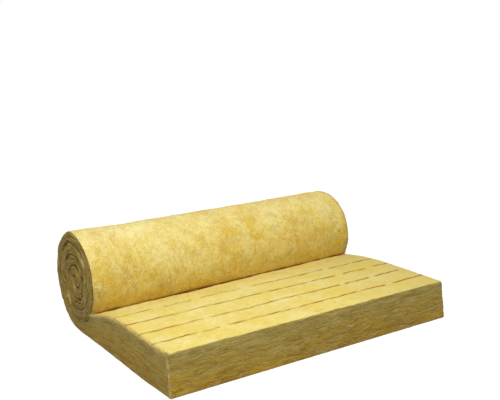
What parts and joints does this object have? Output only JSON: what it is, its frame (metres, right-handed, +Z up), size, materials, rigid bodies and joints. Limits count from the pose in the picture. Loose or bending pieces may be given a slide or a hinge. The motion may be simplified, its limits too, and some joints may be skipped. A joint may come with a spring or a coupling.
{
  "type": "insulation roll",
  "caption": "Part-unrolled glass wool insulation mat: a thick flat length with a square cut end, the rest still wound in a roll with spiral ends. Cut and clamped between rafters.",
  "frame": {"origin": "on the floor, below the middle of the part's bounding box", "axes": "+X along the roll's axis, across the mat; +Y along the mat, from its cut end towards the roll; +Z up"},
  "size_m": [1.2, 0.9153, 0.381],
  "materials": {
    "glass_wool": "matte fibrous felt, yellow with pale and golden mottling, olive-brown on the cut faces"
  },
  "bodies": {
    "root": {"glass_wool_mat": "glass_wool"}
  },
  "joints": []
}
